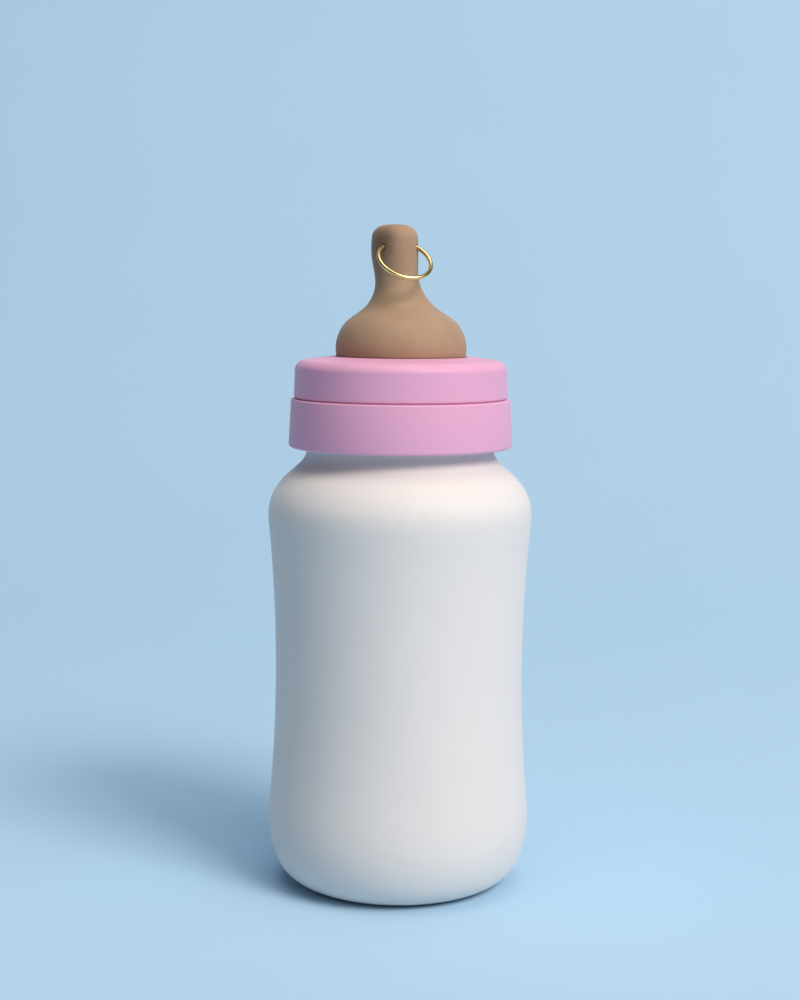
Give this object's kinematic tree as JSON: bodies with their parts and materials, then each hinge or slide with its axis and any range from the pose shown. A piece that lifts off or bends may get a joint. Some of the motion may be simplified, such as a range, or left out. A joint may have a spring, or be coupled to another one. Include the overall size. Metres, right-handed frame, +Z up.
{
  "type": "baby bottle",
  "caption": "Wide-neck baby feeding bottle with a threaded two-tier collar, a clamped hollow teat that leans to one side, and a wire hoop hanging through the teat.",
  "frame": {"origin": "centre of the base, on the surface that the bottle stands on", "axes": "+Z up the bottle's axis, the hoop hangs on the -Y side and the teat leans towards -X"},
  "size_m": [0.072, 0.072, 0.1811],
  "materials": {
    "bottle_white": "satin opaque white polypropylene",
    "collar_pink": "satin pink polypropylene",
    "teat_silicone": "matt tan silicone rubber",
    "hoop_gold": "polished yellow gold colour"
  },
  "bodies": {
    "bottle": {"bottle": "bottle_white"},
    "collar_top": {"retaining_ring": "collar_pink", "teat": "teat_silicone"},
    "screw_ring": {"screw_ring": "collar_pink"},
    "hoop": {"hoop": "hoop_gold"}
  },
  "joints": [
    {"name": "collar_lift", "type": "slide", "parent": "bottle", "child": "collar_top", "axis": [0, 0, 1], "range_m": [0, 0.0221]},
    {"name": "screw_turn", "type": "hinge", "parent": "collar_top", "child": "screw_ring", "pos_m": [0, 0, 0.1275], "axis": [0, 0, 1], "range_deg": [0, 990]},
    {"name": "hoop_swing", "type": "hinge", "parent": "collar_top", "child": "hoop", "pos_m": [-0.00059, -0.00334, 0.17516], "axis": [0.9358, 0.3526, -0.0072], "range_deg": [-30, 20]}
  ],
  "couplings": [
    {"joint": "collar_lift", "follows": "screw_turn", "m_per_rad": 0.0012732}
  ]
}
